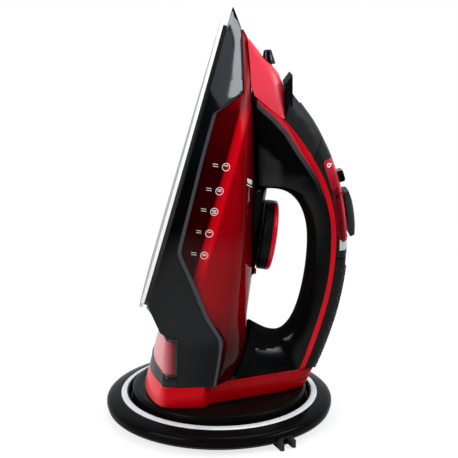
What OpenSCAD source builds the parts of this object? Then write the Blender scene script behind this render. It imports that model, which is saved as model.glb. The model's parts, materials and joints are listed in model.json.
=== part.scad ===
// Cordless steam iron standing on its heel on a round swivelling charging base.
// Frame: origin on the table at the swivel axis, +Z up, +X towards the handle, sole on the -X side.

/* [Charging base] */
// Radius of the round base at its rim
base_r = 85; // [80:1:95]
// Height of the upper shell where the trim ring starts
ring_z = 14.5; // [13:0.5:16]
// Outer radius of the bright trim ring
ring_r = 74; // [72:0.5:76]
// Width of the trim ring, seen from above
ring_w = 4.2; // [3:0.2:5]
// Radius of the swivelling platform
platform_r = 65.5; // [62:0.5:66]
// Height of the platform's top, on which the heel stands
heel_z = 20; // [19:0.5:22]

/* [Soleplate] */
// Length of the soleplate
sole_len = 223; // [215:1:230]
// Half width of the soleplate at its widest
sole_hw = 54.5; // [50:0.5:58]
// Lean of the soleplate from upright when the iron stands on its heel
sole_lean = 16.5; // [14:0.5:18]
// Thickness of the polished sole sheet
sheet_t = 2.2; // [1.5:0.1:3]
// Thickness of the cast heating body behind the sheet
casting_t = 10; // [8:0.5:12]
// Radius of a steam hole
steam_hole_r = 1.6; // [1:0.1:2]

/* [Shells] */
// Wall of the skirt
skirt_wall = 2.5; // [2:0.1:3]
// Wall of the water tank
tank_wall = 2.2; // [1.8:0.1:2.6]
// Wall of the handle mouldings
handle_wall = 2.4; // [2:0.1:2.8]
// Height of the red heel band
band_h = 16; // [14:0.5:18]

/* [Controls] */
// Radius of the temperature dial
dial_r = 25.5; // [22:0.5:26]
// Lean of the dial from upright
dial_lean = 8; // [6:0.5:10]
// Distance of each button's plunger from the middle
plunger_y = 5; // [4.5:0.1:5.5]
// Running clearance of each plunger in its pump barrel
pump_gap = 0.05; // [0.02:0.01:0.1]

/* [Hidden] */
// where the sole sheet's rear end stands in the heel frame
sole_x = -58.5;
sole_z = 65;
// widest station of the sole, and the radius of its rounded rear edge
sole_s = 60;
rear_r = 94;
side_r = ((sole_len - sole_s) * (sole_len - sole_s) + sole_hw * sole_hw) / (2 * sole_hw);
side_y = side_r - sole_hw;
rim_h = 5.2;
casting_back = sheet_t + casting_t;
// bend of the heating tube, and the drip valve's station
bend_s = 80;
bend_r = 36;
valve_s = 98;
// stations between which the casting reaches out to the sheet's edge
casting_ends = [11, 210];
// inner radius of the foot ring, screw circle and direction of the cord outlet on the base
foot_r = 60;
screw_r = 46;
outlet_turn = -58;
// how far the filler door tips open
door_open = 35;
fine = 180;
eps = 0.01;

// ---------- curves and shells ----------

function lerp(a, b, t) = a + (b - a) * t;

// smooth curve through a list of points, u counts from point to point
function at(pts, u) =
    let(n = len(pts) - 1, k = min(floor(u), n - 1), t = u - k,
        a = pts[max(k - 1, 0)], b = pts[k], c = pts[k + 1], d = pts[min(k + 2, n)])
    0.5 * (2 * b + (c - a) * t + (2 * a - 5 * b + 4 * c - d) * t * t + (3 * b - a - 3 * c + d) * t * t * t);

// one curved wall between two matching grids of points
module wall(outer, inner) {
    m = len(outer);
    n = len(outer[0]);
    pts = [for (side = [outer, inner]) for (row = side) for (p = row) p];
    function o(i, j) = i * n + j;
    function q(i, j) = m * n + i * n + j;
    faces = concat(
        [for (i = [0:m - 2]) for (j = [0:n - 2]) for (f = [
            [o(i, j), o(i + 1, j), o(i + 1, j + 1)], [o(i, j), o(i + 1, j + 1), o(i, j + 1)],
            [q(i, j), q(i + 1, j + 1), q(i + 1, j)], [q(i, j), q(i, j + 1), q(i + 1, j + 1)]]) f],
        [for (j = [0:n - 2]) for (f = [
            [o(0, j), o(0, j + 1), q(0, j + 1)], [o(0, j), q(0, j + 1), q(0, j)],
            [o(m - 1, j), q(m - 1, j + 1), o(m - 1, j + 1)],
            [o(m - 1, j), q(m - 1, j), q(m - 1, j + 1)]]) f],
        [for (i = [0:m - 2]) for (f = [
            [o(i, 0), q(i + 1, 0), o(i + 1, 0)], [o(i, 0), q(i, 0), q(i + 1, 0)],
            [o(i, n - 1), o(i + 1, n - 1), q(i + 1, n - 1)], [o(i, n - 1), q(i + 1, n - 1), q(i, n - 1)]]) f]
    );
    polyhedron(pts, faces, convexity = 10);
}

// solid between closed outlines that have the same number of points
module loft(rings) {
    m = len(rings);
    n = len(rings[0]);
    pts = [for (row = rings) for (p = row) p];
    sides = [for (i = [0:m - 2]) for (j = [0:n - 1]) for (f = [
        [i * n + j, (i + 1) * n + (j + 1) % n, i * n + (j + 1) % n],
        [i * n + j, (i + 1) * n + j, (i + 1) * n + (j + 1) % n]]) f];
    polyhedron(pts, concat(sides, [[for (j = [0:n - 1]) j], [for (j = [n - 1:-1:0]) (m - 1) * n + j]]),
        convexity = 8);
}

function mirrored(half) = concat([for (p = half) [p[0], -p[1], p[2]]],
    [for (i = [len(half) - 2:-1:0]) half[i]]);

// ---------- places ----------

dial_x = 30;
dial_z = 115.5;

// the iron stands with its heel on the platform
module iron() translate([0, 0, heel_z]) children();
// local +X away from the ironing face, local +Z from the heel to the tip
module on_sole() iron() translate([sole_x, 0, sole_z]) rotate([0, sole_lean, 0]) children();
// local +X out of the deck along the dial's axis
module on_dial() iron() translate([dial_x, 0, dial_z]) rotate([0, dial_lean, 0]) children();
// local +X out of the back of the handle, at the middle of the button bed
module on_buttons() iron() translate([92, 0, 132]) rotate([0, -9, 0]) children();
// local +X out of the slider plate, local +Z along the slider's travel
module on_slider() iron() translate([84.6, 0, 162.6]) rotate([0, -18, 0]) children();
// local +X out of the filler mouth
module on_filler() iron() translate([46.6, 0, 213]) rotate([0, 2, 0]) children();
// local +Z out of the spray nozzle
module on_nozzle() iron() translate([35.2, 0, 238.2]) rotate([0, -4, 0]) children();
module along_x(h, r) rotate([0, 90, 0]) cylinder(h = h, r = r, $fn = 48);

// ---------- body of the iron: half width at a place (x, z) of the heel frame ----------

function sole_u(x, z) = (x - sole_x) * sin(sole_lean) + (z - sole_z) * cos(sole_lean);
function sole_v(x, z) = (x - sole_x) * cos(sole_lean) - (z - sole_z) * sin(sole_lean);
// the sides lean in above the rim, more so towards the heel's top and at the nose
function draft_side(h, z) =
    0.1 * min(h, 13)
    + lookup(z, [[16, 0.06], [47, 0.22], [90, 0.27], [140, 0.3], [280, 0.3]]) * max(0, h - 13);
function draft_nose(h) = lookup(h, [[0, 0], [4.5, 0], [14.8, 6.7], [22, 10.4], [36, 15.3], [60, 24]]);
function blend_nose(s) = let(t = min(1, max(0, (s - 110) / 100))) t * t * (3 - 2 * t);
function half_w(x, z) =
    let(s = sole_u(x, z), h = max(0, sole_v(x, z)),
        r = side_r - lerp(draft_side(h, z), draft_nose(h), blend_nose(s)),
        d = max(0, s - sole_s))
    sqrt(max(0, r * r - d * d)) - side_y;

// lines along the body, each as x at a height z
function sole_line(z) = sole_x + (z - sole_z) * tan(sole_lean);
function rim_x(z) = z > 77 ? sole_line(z) + rim_h / cos(sole_lean)
    : lookup(z, [[16, -30.5], [52, -30.5], [56.4, -41.28], [77, sole_line(77) + rim_h / cos(sole_lean)]]);
function edge_x(z) = lookup(z, [[14.5, -4.8], [31, -1.5], [46.8, 0.7], [64.3, -9.7], [93.6, -20.7],
    [112.6, -28.6], [116, -28.6], [150.3, -19.9], [179, -12.5], [208.2, -3.9], [220.2, 16.6],
    [240, 16.4], [258, 16.0], [264.5, 15.4], [278.3, 9.95]]);
// the bevel and the step round the tank window fade out in the nose
function nose_fade(z) = lookup(z, [[210, 1], [222, 0.15]]);
function fold_x(z) = max(edge_x(z) + 3.2, lookup(z, [[16, -1.5], [30, 3], [46, 5.5], [58, 7], [92, 12],
    [125, 16], [150, 16.6], [220, 19.6], [264, 18]]));
function heel_x(z) = -57 + 0.285 * z;
function sag(y) = rear_r - sqrt(rear_r * rear_r - y * y);

// ---------- charging base ----------

module base_tray() {
    color([0.06, 0.06, 0.065]) difference() {
        rotate_extrude($fn = fine) polygon([[8, 2.4], [79, 2.4], [84, 4.2], [84.6, 5.8], [81.6, 5.8],
            [81.6, 7.6], [79.4, 7.6], [79.4, 4.6], [12, 4.6], [12, 8.4], [8, 8.4]]);
        rotate_extrude($fn = fine) translate([foot_r, 1.4]) square([8, 2]);
        for (a = [0:90:270]) rotate(a) translate([screw_r, 0, 1]) {
            cylinder(h = 2.4, r = 2.1, $fn = 32);
            cylinder(h = 6, r = 1.2, $fn = 32);
        }
        rotate(outlet_turn) translate([76.6, -6.5, 1]) cube([14, 13, 9]);
    }
}

module base_shell() {
    color([0.03, 0.03, 0.033]) difference() {
        rotate_extrude($fn = fine) polygon([[84.8, 6.3], [85, 9.4], [84.2, 11.2], [82.2, 12.4],
            [79, 13.5], [ring_r + 0.1, ring_z], [ring_r + 0.1, ring_z - 1.4],
            [ring_r - ring_w - 0.1, ring_z - 0.6], [ring_r - ring_w - 0.1, ring_z + 0.75],
            [68.6, ring_z + 0.5], [67.4, ring_z - 0.6],
            [66.8, 11], [22, 11], [22, 14.4], [19, 14.4], [19, 8.7], [68.6, 8.7], [70.4, 11.4],
            [78.5, 11.2], [81.8, 10], [82.2, 6.3]]);
        rotate(outlet_turn) translate([76.6, -6.5, 2]) cube([12, 13, 5.8]);
        for (a = [0:90:270]) rotate(a) translate([screw_r, 0, 8]) cylinder(h = 2.4, r = 1.2, $fn = 32);
    }
}

module trim_ring() {
    color([0.85, 0.86, 0.87]) rotate_extrude($fn = fine)
        polygon([[ring_r, ring_z - 1.2], [ring_r, ring_z], [ring_r - ring_w, ring_z + 0.85],
            [ring_r - ring_w, ring_z - 0.4]]);
}

module base_foot() {
    color([0.12, 0.12, 0.12]) rotate_extrude($fn = fine) polygon([[foot_r, 3.4], [foot_r, 0.6],
        [foot_r + 0.6, 0], [foot_r + 7.4, 0], [foot_r + 8, 0.6], [foot_r + 8, 3.4]]);
}

module base_screws() {
    color([0.6, 0.6, 0.62]) for (a = [0:90:270]) rotate(a) translate([screw_r, 0, 2.6]) {
        cylinder(h = 0.8, r = 2, $fn = 32);
        cylinder(h = 7.6, r = 1.2, $fn = 32);
    }
}

// the mains lead leaves between the two clip arms
module cord_outlet() {
    color([0.05, 0.05, 0.055]) rotate(outlet_turn) difference() {
        union() {
            translate([76.6, -5.8, 2.6]) cube([9.4, 11.6, 5.2]);
            for (side = [-1, 1]) hull() {
                translate([79, side * 4.9, 2.2]) cylinder(h = 5, r = 1.6, $fn = 32);
                translate([88.6, side * 4.9, 0.6]) cylinder(h = 5, r = 1.6, $fn = 32);
            }
        }
        translate([74, 0, 5.2]) along_x(20, 2.2);
    }
}

module slip_rings() {
    color([0.8, 0.62, 0.25]) rotate_extrude($fn = fine)
        for (r = [30, 38, 46]) translate([r, 11]) square([3.4, 0.8]);
}

module base_spindle() {
    color([0.75, 0.75, 0.77]) rotate_extrude($fn = 96)
        polygon([[5, 2.6], [7.6, 2.6], [7.6, 9], [10, 9], [10, 10.4], [9, 10.4], [9, 17.2], [5, 17.2]]);
}

module turntable() {
    color([0.04, 0.04, 0.043]) rotate_extrude($fn = fine) polygon([[0, heel_z], [platform_r - 2.2, heel_z],
        [platform_r - 0.6, heel_z - 0.9], [platform_r, heel_z - 2.4], [platform_r, 12.6],
        [platform_r - 2.4, 12.6], [platform_r - 2.4, heel_z - 2.6], [17, heel_z - 2.6], [17, 11.8],
        [11.4, 11.8], [11.4, heel_z - 2.6], [0, heel_z - 2.6]]);
}

module bearing_ring() {
    color([0.9, 0.88, 0.8]) rotate_extrude($fn = 96)
        translate([9.06, 11.9]) square([2.34, 4.6]);
}

module brush_contacts() {
    color([0.8, 0.62, 0.25]) for (r = [31.7, 39.7, 47.7]) rotate(20) {
        translate([r - 1.2, -7, heel_z - 3.4]) cube([2.4, 14, 0.8]);
        translate([r - 1.2, 4, 11.85]) cube([2.4, 1, heel_z - 15]);
    }
}

module dock_plug() {
    color([0.1, 0.1, 0.11]) difference() {
        translate([-30, -11, heel_z]) cube([18, 22, 8]);
        for (y = [-7, 0, 7]) translate([-24, y - 0.55, heel_z + 1]) cube([6, 1.1, 8]);
    }
}

module dock_blades() {
    color([0.85, 0.68, 0.3]) for (y = [-7, 0, 7]) translate([-24, y - 0.55, heel_z + 1]) cube([6, 1.1, 9.4]);
}

// ---------- soleplate ----------

// outline of the sole with its sides drawn in by inset, from x0 to x0 + t behind the ironing face
module sole_blank(x0, t, inset) {
    intersection() {
        translate([x0, side_y, sole_s]) rotate([0, 90, 0]) cylinder(h = t, r = side_r - inset, $fn = 360);
        translate([x0, -side_y, sole_s]) rotate([0, 90, 0]) cylinder(h = t, r = side_r - inset, $fn = 360);
        union() {
            translate([x0, 0, rear_r]) rotate([0, 90, 0]) cylinder(h = t, r = rear_r - inset, $fn = fine);
            translate([x0, -70, sole_s]) cube([t, 140, sole_len - sole_s - 1]);
        }
    }
}

// half width of the sole sheet at a station s
function sole_edge(s) = sqrt(side_r * side_r - (s - sole_s) * (s - sole_s)) - side_y;

module soleplate_sheet() {
    color([0.9, 0.88, 0.82]) on_sole() difference() {
        sole_blank(0, sheet_t, 0);
        for (s = [62:18:170]) for (side = [-1, 1]) for (inset = [9, 17])
            translate([-1, side * (sole_edge(s) - inset), s - inset / 3]) along_x(sheet_t + 2, steam_hole_r);
        for (s = [178:9:196]) translate([-1, 0, s]) along_x(sheet_t + 2, steam_hole_r);
    }
}

// outline of the steam chamber, inside the bend of the heating tube
module chamber(x0, t, inset) {
    translate([x0, -28 + inset, 34 + inset]) cube([t, 56 - 2 * inset, bend_s - 34 - inset]);
    translate([x0, 0, bend_s]) rotate([0, 90, 0]) cylinder(h = t, r = 28 - inset, $fn = 96);
}

module soleplate_casting() {
    color([0.34, 0.32, 0.3]) on_sole() difference() {
        union() {
            intersection() {
                sole_blank(sheet_t, rim_h - sheet_t, 1.4);
                translate([0, -70, casting_ends[0]]) cube([20, 140, casting_ends[1] - casting_ends[0]]);
            }
            sole_blank(rim_h - eps, casting_back - rim_h + eps, 9);
        }
        chamber(casting_back - 4.6, 4, 3);
        chamber(casting_back - 1.6, 4, 0);
        element_path(0.08);
        for (s = [62:18:170]) for (side = [-1, 1])
            translate([1, side * (sole_edge(s) - 5), s - 5]) along_x(4, 2.2);
    }
}

// the heating tube is a long U, its bend towards the nose
module element_path(gap) {
    for (side = [-1, 1]) translate([casting_back, side * bend_r, 18])
        cylinder(h = bend_s - 18 + eps, r = 3.4 + gap, $fn = 40);
    translate([casting_back, 0, bend_s]) rotate([90, 0, 90]) rotate_extrude(angle = 180, $fn = 96)
        translate([bend_r, 0]) circle(r = 3.4 + gap, $fn = 40);
}

module heating_element() {
    color([0.55, 0.54, 0.52]) on_sole() {
        element_path(0);
        for (side = [-1, 1]) translate([casting_back + 1.7, side * bend_r, 8])
            cylinder(h = 10.5, r = 1.6, $fn = 32);
    }
}

module chamber_cover() {
    color([0.6, 0.6, 0.6]) on_sole() difference() {
        chamber(casting_back - 1.6, 1.2, 0.3);
        translate([casting_back - 4, 0, valve_s]) along_x(8, 3.05);
    }
}

module thermostat() {
    color([0.75, 0.73, 0.68]) on_sole() translate([casting_back - 0.4, -7, 55]) {
        cube([3.2, 14, 22]);
        translate([3.2 - eps, 3, 5]) cube([4, 8, 12]);
    }
}

module thermal_fuse() {
    color([0.85, 0.85, 0.8]) on_sole() translate([casting_back, 0, 14]) {
        translate([0, -9, 0]) cube([3, 18, 7]);
        translate([2.9, -6, 2]) cube([1.4, 12, 3]);
        translate([5.2, -7, 3.5]) rotate([-90, 0, 0]) cylinder(h = 14, r = 2, $fn = 32);
    }
}

// closes the tank towards the hot side, with a tunnel for the dial's shaft
module tank_base() {
    color([0.12, 0.12, 0.13]) difference() {
        union() {
            on_sole() intersection() {
                sole_blank(20, 2.4, 9);
                translate([18, -70, 4]) cube([6, 140, 150]);
            }
            on_sole() intersection() {
                sole_blank(20, 2.4, 15);
                translate([18, -70, 150]) cube([6, 140, 60]);
            }
            on_dial() translate([-50, 0, 0]) along_x(43.6, 5.2);
        }
        on_sole() translate([18, 0, valve_s]) along_x(8, 3.05);
        on_dial() translate([-60, 0, 0]) along_x(80, 3.4);
    }
}

module drip_valve() {
    color([0.78, 0.66, 0.36]) on_sole() translate([casting_back - 3, 0, valve_s]) {
        along_x(16, 3);
        translate([15.9, 0, 0]) along_x(8, 1.6);
    }
}

// ---------- tank and skirt ----------

tank_z = [17, 24, 32, 40, 46.8, 52, 58, 64.3, 70, 80, 93.6, 104, 112.6, 116, 130, 150.3, 165, 179, 194,
    208.2, 212, 216, 220.2, 230, 240, 250, 257, 262.6];

function tank_edge(z) = lookup(z, [[16, 10], [30, 16], [45, 19.5], [56, 19], [92, 22.5], [125, 24],
    [185, 24], [218, 22.8], [240, 21.6], [257, 20.2], [262, 17.4], [264, 16.6]]);
function tank_edge_y(z) = lookup(z, [[16, 34], [30, 31.5], [45, 27], [56, 25], [92, 23], [150, 22.5],
    [185, 20.5], [218, 16.6], [240, 9.6], [257, 3.4], [264, 1.2]]);
function tank_top(z) = lookup(z, [[16, 18], [45, 21], [56, 20.6], [92, 25.6], [150, 26.6], [185, 25.6],
    [218, 23.6], [240, 22.2], [257, 20.6], [262, 17.7], [264, 16.9]]);

function tank_skin(z, y) = lookup(y, [[0, tank_top(z)],
    [tank_edge_y(z) * 0.5, lerp(tank_edge(z), tank_top(z), 0.75)], [tank_edge_y(z), tank_edge(z)]]);

// half section of the tank's face from under the skirt to the middle of the deck, less the wall, which
// thins out into the nose
function tank_half(z, wall_t) =
    let(e = edge_x(z), f = min(fold_x(z), tank_edge(z) - 0.6),
        yf = min(half_w(f, z), half_w(e, z) - 1), d = tank_edge(z), yd = min(tank_edge_y(z), yf - 0.4),
        inset = min(wall_t, max(0.35, 0.35 * yf)), k = nose_fade(z), c = e + 2.4 * k + 0.15 * (1 - k),
        low = max(e - 9, rim_x(z) + 2))
    [for (p = [
        [low, half_w(low, z) - 2.8],
        [e, half_w(e, z) - 2.8],
        [c, half_w(c, z) - 2.55 - 0.8 * k],
        [lerp(c, f, 0.06 + 0.34 * k), half_w(lerp(c, f, 0.06 + 0.34 * k), z) - 0.25 - 0.65 * k],
        [lerp(c, f, 0.75), half_w(lerp(c, f, 0.75), z) - 0.1 - 0.15 * k],
        [f, yf]]) [p[0], max(0.35, max(0.7, p[1]) - inset), z],
     [d - inset * 0.7, max(0.5, yd) - inset * 0.7, z],
     [lerp(d, tank_top(z), 0.75) - inset, max(0.3, yd * 0.5) - inset * 0.1, z],
     [tank_top(z) - inset, 0, z]];

module water_tank() {
    color([0.62, 0.02, 0.05, 0.75]) difference() {
        iron() wall([for (z = tank_z) mirrored(tank_half(z, 0))],
            [for (z = tank_z) mirrored(tank_half(z, tank_wall))]);
        on_dial() translate([-12, 0, 0]) along_x(20, 3.4);
        on_filler() translate([-28, 0, 0]) along_x(12, 5);
    }
}

skirt_z = [band_h, 24, 34, 46.8, 52, 56.4, 60, 64.3, 70, 77, 85, 93.6, 103, 112.6, 116, 127, 138, 150.3,
    160, 170, 179, 190, 200, 208.2, 211, 214, 217, 220.2, 229, 238, 247, 256, 264.5, 270, 274.5, 277.6];

// the wall follows the body's side, and a bevel borders the tank window
function skirt_row(z, depth) =
    let(a = rim_x(z), b = edge_x(z), k = min(nose_fade(z), max(0.25, (b - a) / 6)), c = b + 2.4 * k)
    [for (p = [[a, 0], [lerp(a, b, 0.3), 0], [lerp(a, b, 0.65), 0], [b, 0], [c, 1.8 * k]])
        [p[0], depth > 0 ? max(-0.05, half_w(p[0], z) - p[1] - depth + (p[1] > 0 ? k : 0))
            : max(0.35, half_w(p[0], z) - p[1]), z]];

module skirt_half() wall([for (z = skirt_z) skirt_row(z, skirt_wall)], [for (z = skirt_z) skirt_row(z, 0)]);

module skirt() {
    color([0.08, 0.085, 0.095]) iron() {
        skirt_half();
        mirror([0, 1, 0]) skirt_half();
    }
}

// ---------- heel ----------

// half outline of the heel's sole side: from the seam with the skirt round the corner to the middle.
// Low down it follows the sole's rear edge, and it flattens towards the sole.
function back_half(z, inset) =
    let(x0 = heel_x(z), bow = lookup(z, [[band_h, 1], [52, 0.35]]), side = x0 + bow * sag(42),
        corner = [[-30.5, 50.7, 0], [-36, 50.8, 0], [-40.5, 50, 0.3], [-43.6, 47.8, 0.8]])
    [for (i = [0:3])
        let(p = corner[i], turn = p[2])
        [max(p[0], side + 8.2 - 2.25 * i) + inset * turn, p[1] - inset * (1 - 0.6 * turn), z],
     for (y = [42, 34, 25, 16, 8, 0]) [x0 + inset + bow * sag(y), y * (1 - inset / 60), z]];

// the underside runs out from the heel to the sole's rear edge
function lip_half(t, inset) =
    let(low = back_half(52, inset), skin = back_half(52, 0))
    [for (i = [0:len(low) - 1])
        let(y = i < 3 ? low[i][1] - [0, 0.7, 0.8][i] : low[i][1],
            s = sag(min(y, 49.6 - 0.6 * i)) + inset * 0.6,
            edge = [sole_x + s * sin(sole_lean) + rim_h * cos(sole_lean), min(y, half_w(-50.2, 77)),
                sole_z + s * cos(sole_lean) - rim_h * sin(sole_lean)],
            out = lerp(skin[i][0], -41, i < 3 ? 0.92 : 0.75) - skin[i][0],
            from = i > 3 ? low[i] : [low[i][0] + out + inset * [0.4, 0.4, 0.3, 0][i], low[i][1], 52 + 1.6])
        lerp(from, edge, t)];

module heel_back() {
    function row(z, proud, inset) = mirrored(back_half(z, proud + inset));
    steps = [[band_h, 0], [23.6, 0], [24.4, 1.3], [26.4, 1.3], [37.5, 1.3], [49.2, 1.3], [51.2, 1.3],
        [51.9, 0]];
    color([0.08, 0.085, 0.095]) iron() wall(
        [for (s = steps) row(s[0], 0, 3.2), for (t = [0.12, 0.5, 1]) mirrored(lip_half(t, 3.2))],
        [for (s = steps) row(s[0], s[1], 0), for (t = [0.12, 0.5, 1]) mirrored(lip_half(t, 0))]);
}

module heel_window() {
    steps = [[24.7, 0.5], [26.4, -0.1], [37.5, -0.5], [49.2, -0.1], [50.9, 0.5]];
    color([0.75, 0.05, 0.12, 0.8]) iron() wall(
        [for (s = steps) mirrored(back_half(s[0], 1.29))],
        [for (s = steps) mirrored(back_half(s[0], s[1]))]);
}

// closed outline of the heel band between its sole side x0 and its rear x1
function band_outline(x0, x1) =
    let(half = [[x0, 0], [x0 + sag(14), 14], [x0 + sag(28), 28], [x0 + sag(38), 38], [x0 + sag(45), 45],
            [-41.6, 49.4], [-37.5, 51.2], [-33, 51.6], [-12.4, 51.6], [-8.6, 47.4], [-6.4, 44], [19, 34],
            [42, 25], [x1 - 8, 15.6], [x1 - 3.4, 12.6], [x1 - 0.8, 7], [x1, 0]],
        n = len(half) - 1)
    [each half, for (i = [n - 1:-1:1]) [half[i][0], -half[i][1]]];
function band_ring(z, inset) =
    [for (p = band_outline(heel_x(z), lerp(65.6, 72.4, z / band_h)))
        [p[0] * (1 - inset / 62), p[1] * (1 - inset / 50), z]];
boss_x = [20, 48];

module heel_band() {
    color([0.85, 0.04, 0.1]) iron() difference() {
        union() {
            loft([band_ring(3, 3.6), band_ring(band_h - 0.3, 3.6), band_ring(band_h, 0.6),
                band_ring(band_h - 0.6, 0), band_ring(1.2, 0), band_ring(0, 1.4)]);
            translate([-34, -15, 1]) cube([26, 30, 12.4]);
            for (x = boss_x) translate([x, 0, 1]) cylinder(h = 12.9, r = 4, $fn = 40);
        }
        translate([-32, -13, -1]) cube([22, 26, 12]);
        for (y = [-7, 0, 7]) translate([-25.5, y - 2, 8]) cube([9, 4, 8]);
        for (p = foot_places) translate([p[0], p[1], -1]) cylinder(h = 2.2, r = 4.1, $fn = 40);
        for (x = boss_x) translate([x, 0, -1]) {
            cylinder(h = 3, r = 3.4, $fn = 40);
            cylinder(h = 20, r = 1.6, $fn = 32);
        }
    }
}

// ties the band to the handle and the tank
module heel_frame() {
    color([0.2, 0.2, 0.21]) iron() difference() {
        translate([0, 0, 13.9]) linear_extrude(height = 2.3)
            polygon([[-4, -26], [14, -24], [54, -11], [54, 11], [14, 24], [-4, 26]]);
        for (x = boss_x) translate([x, 0, 10]) cylinder(h = 10, r = 1.5, $fn = 32);
    }
}

module heel_screws() {
    color([0.6, 0.6, 0.62]) iron() for (x = boss_x) translate([x, 0, 0.6]) {
        cylinder(h = 1.4, r = 3.1, $fn = 32);
        cylinder(h = 15.6, r = 1.5, $fn = 32);
    }
}

foot_places = [[-40, 26], [-40, -26], [52, 8.4], [52, -8.4]];

module heel_feet() {
    color([0.2, 0.2, 0.2]) iron() for (p = foot_places)
        translate([p[0], p[1], 0]) cylinder(h = 1.2, r = 4, $fn = 40);
}

module heel_contacts() {
    color([0.85, 0.68, 0.3]) iron() for (y = [-7, 0, 7]) difference() {
        translate([-25.5, y - 2, 11.2]) cube([9, 4, 7]);
        translate([-25, y - 0.9, 10.5]) cube([8, 1.8, 3.5]);
    }
}

// ---------- upper cover, filler and spray ----------

cover_z = [202.2, 204.5, 209, 214, 218, 222, 226, 229, 232, 235, 238.4, 243.4, 248.4, 252.4, 256];

function cover_low(z) = lookup(z, [[201, 46.4], [204.5, 41.4], [209, 35.6], [218, 24.8], [226, 22.4],
    [240, 21.8], [256, 20.4]]);
function cover_low_y(z) = lookup(z, [[201, 17.2], [214, 17.4], [218, 17], [226, 14.6], [240, 9.8],
    [250, 6], [256, 3.4]]);
function cover_top(z) = lookup(z, [[201, 47.6], [222, 46.6], [226, 45.4], [229, 43.4], [232, 42.7],
    [238.4, 37.4], [243.4, 31.5], [248.4, 27.9], [256, 21.7]]);
function cover_half(z, inset) =
    let(x0 = cover_low(z), x1 = cover_top(z), w = cover_low_y(z), e = 2 / 3.4)
    [for (i = [0:7]) let(a = i * 90 / 7)
        [x0 + max(0.2, x1 - x0 - inset) * pow(sin(a), e),
            max(0, w - inset) * (i == 7 ? 0 : pow(cos(a), e)), z]];

module upper_cover() {
    color([0.85, 0.05, 0.12]) difference() {
        iron() wall([for (z = cover_z) mirrored(cover_half(z, 0))],
            [for (z = cover_z) mirrored(cover_half(z, 2))]);
        on_filler() translate([-8, 0, 0]) along_x(12, 6.6);
        on_nozzle() {
            translate([0, 0, -8]) cylinder(h = 10, r = 2.5, $fn = 64);
            translate([0, 0, 0.5]) cylinder(h = 20, r = 5.15, $fn = 64);
        }
    }
}

module filler_neck() {
    color([0.1, 0.1, 0.11]) on_filler() difference() {
        translate([-21.4, 0, 0]) along_x(21.7, 6.5);
        translate([-24, 0, 0]) along_x(28, 5.2);
    }
}

module spray_nozzle() {
    color([0.03, 0.03, 0.035]) on_nozzle() difference() {
        rotate_extrude($fn = 64) polygon([[0, -3], [2.5, -3], [2.5, 0.5], [5.1, 0.5], [4.6, 3],
            [3.5, 6.8], [2.9, 9.6], [2.2, 10.4], [0, 10.4]]);
        translate([0, 0, 8.6]) cylinder(h = 3, r = 0.7, $fn = 32);
    }
}

// thin hose from the spray pump past the filler neck to the nozzle
hose = [[35.4, 0, 234.9], [35.2, -0.6, 232.4], [33, -9.8, 224], [37, -9.8, 203], [50, -8, 178],
    [61, -6, 150], [66.2, -5.2, 133], [67.6, -5, 128.8], [70.1, -5, 128.5]];
hose_n = len(hose) - 1;
function unit(v) = v / norm(v);
function hose_ring(u) =
    let(d = unit(at(hose, min(u + 0.05, hose_n)) - at(hose, max(u - 0.05, 0))),
        a = unit(cross(d, [0, 1, 0])), b = cross(d, a))
    [for (i = [0:15]) at(hose, u) + 1.4 * (a * cos(i * 22.5) + b * sin(i * 22.5))];

module spray_tube() {
    color([0.85, 0.85, 0.83]) iron() loft([for (i = [0:3 * hose_n]) hose_ring(i / 3)]);
}

// fin in front of the handle, the filler door lies in its middle
hinge_x = 49.7;
hinge_z = 202.4;
fin = [[47.8, 199.4], [47, 222.6], [46.4, 225.6], [51.2, 232.2], [51.4, 221.2], [51.6, 199.4]];

module on_hinge() iron() translate([hinge_x, 0, hinge_z]) children();
// local +X towards the floor of the recess that the open filler door tips into
module in_recess() on_hinge() rotate([0, door_open, 0]) children();
module hinge_rod(r, l) on_hinge() rotate([90, 0, 0]) cylinder(h = l, r = r, center = true, $fn = 40);
module fin_slab(w) iron() rotate([90, 0, 0]) translate([0, 0, -w])
    linear_extrude(height = 2 * w) polygon(fin);

module filler_collar() {
    color([0.05, 0.05, 0.055]) difference() {
        fin_slab(15.6);
        on_hinge() translate([-10, -8.5, -1.9]) cube([20, 17, 40]);
        hinge_rod(0.8, 21);
    }
}

module filler_door() {
    color([0.05, 0.05, 0.055]) difference() {
        union() {
            intersection() {
                fin_slab(8.1);
                on_hinge() translate([-10, -10, 0]) cube([20, 20, 40]);
            }
            hinge_rod(1.6, 16.2);
        }
        hinge_rod(0.85, 20);
    }
}

module filler_door_pin() color([0.7, 0.7, 0.72]) hinge_rod(0.8, 21);

// ---------- handle ----------

// rows of the handle's inner moulding: inner edge x, z; stripe edge x, z; half widths at each
shell_rows = [
    [23.8, 217.4, 25.6, 216.6, 16, 16.4], [24.8, 200, 41.5, 204.5, 19, 17],
    [25.9, 184, 50.5, 194.2, 20.5, 17], [26.6, 168, 58.7, 180, 21, 17],
    [27.2, 153, 65.6, 169, 19.5, 17], [37, 151.5, 71.5, 158.5, 16.5, 17],
    [47, 148.9, 76.2, 144.5, 15.2, 17], [57.6, 140, 79.7, 129.4, 14.4, 17],
    [64.4, 121, 80.6, 112, 14.2, 17], [64, 94, 79.6, 89.6, 14.2, 17], [60, 69.5, 75.2, 67, 14.2, 17],
    [54.5, 52.5, 70, 48.5, 14.6, 17], [48, 43.6, 64.4, 31, 15.4, 17], [42.5, 41, 59, 16.2, 17, 16.8],
    [37.5, 40.8, 50, 16.2, 19.5, 20.2], [33, 42, 40, 16.2, 22, 24], [28, 44.6, 27, 16.2, 25, 29.2],
    [23.4, 47.2, 11.4, 16.2, 28, 35.2]
];
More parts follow.
